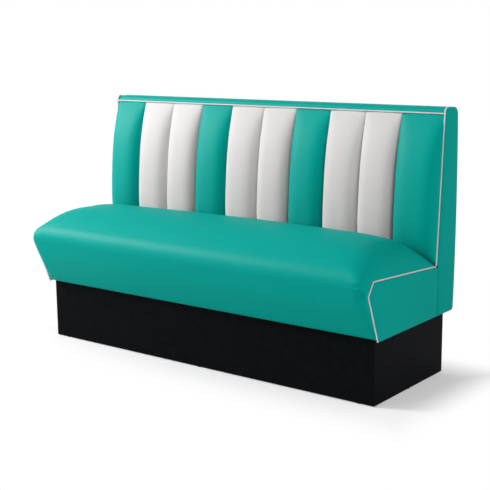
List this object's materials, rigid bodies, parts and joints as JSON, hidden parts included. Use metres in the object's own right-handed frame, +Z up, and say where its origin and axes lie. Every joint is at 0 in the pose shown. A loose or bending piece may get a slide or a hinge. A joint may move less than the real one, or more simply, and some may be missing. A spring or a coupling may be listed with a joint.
{
  "type": "restaurant booth bench",
  "caption": "Upholstered diner booth bench with a crowned seat, a back of stuffed vertical channels in turquoise and white vinyl, contrast piping and a recessed black plinth.",
  "frame": {"origin": "on the floor, under the middle of the whole bench", "axes": "+X along the bench, to the right of someone who faces it; +Y to the rear; +Z up"},
  "size_m": [1.5, 0.606, 0.9367],
  "materials": {
    "vinyl_turquoise": "satin, fine leather grain",
    "vinyl_white": "satin, fine leather grain",
    "piping_white": "satin, welt over a round cord",
    "plinth_black": "matt black laminate on board",
    "glide_plastic": "matt",
    "plywood": "sanded, unfinished",
    "hardboard": "smooth face",
    "foam": "open-cell foam",
    "webbing": "woven elastic",
    "zinc_steel": "zinc plated"
  },
  "bodies": {
    "root": {"back_bottom_rail": "plywood", "back_foam": "foam", "back_front_board": "hardboard", "back_left_end": "plywood", "back_left_facing": "vinyl_turquoise", "back_left_piping": "piping_white", "back_rear_board": "hardboard", "back_rear_cover": "vinyl_turquoise", "back_right_end": "plywood", "back_right_facing": "vinyl_turquoise", "back_right_piping": "piping_white", "back_seat_rail": "plywood", "back_top_band": "vinyl_turquoise", "back_top_piping": "piping_white", "back_top_rail": "plywood", "back_upright_1": "plywood", "back_upright_2": "plywood", "channel_01": "vinyl_turquoise", "channel_02": "vinyl_white", "channel_03": "vinyl_white", "channel_04": "vinyl_turquoise", "channel_05": "vinyl_white", "channel_06": "vinyl_white", "channel_07": "vinyl_turquoise", "channel_08": "vinyl_white", "channel_09": "vinyl_white", "channel_10": "vinyl_turquoise", "fixing_plates": "zinc_steel", "joint_bolts": "zinc_steel", "joint_nuts": "zinc_steel", "joint_washers": "zinc_steel", "plate_screws": "zinc_steel", "plinth_corner_blocks": "plywood", "plinth_front_board": "plinth_black", "plinth_glides": "glide_plastic", "plinth_left_board": "plinth_black", "plinth_rear_board": "plinth_black", "plinth_rib_1": "plywood", "plinth_rib_2": "plywood", "plinth_right_board": "plinth_black", "seat_corner_blocks": "plywood", "seat_cover": "vinyl_turquoise", "seat_cross_webbing": "webbing", "seat_foam": "foam", "seat_front_board": "plywood", "seat_left_end": "plywood", "seat_left_facing": "vinyl_turquoise", "seat_left_piping": "piping_white", "seat_long_webbing": "webbing", "seat_rear_rail": "plywood", "seat_rib_1": "plywood", "seat_rib_2": "plywood", "seat_right_end": "plywood", "seat_right_facing": "vinyl_turquoise", "seat_right_piping": "piping_white"}
  },
  "joints": []
}
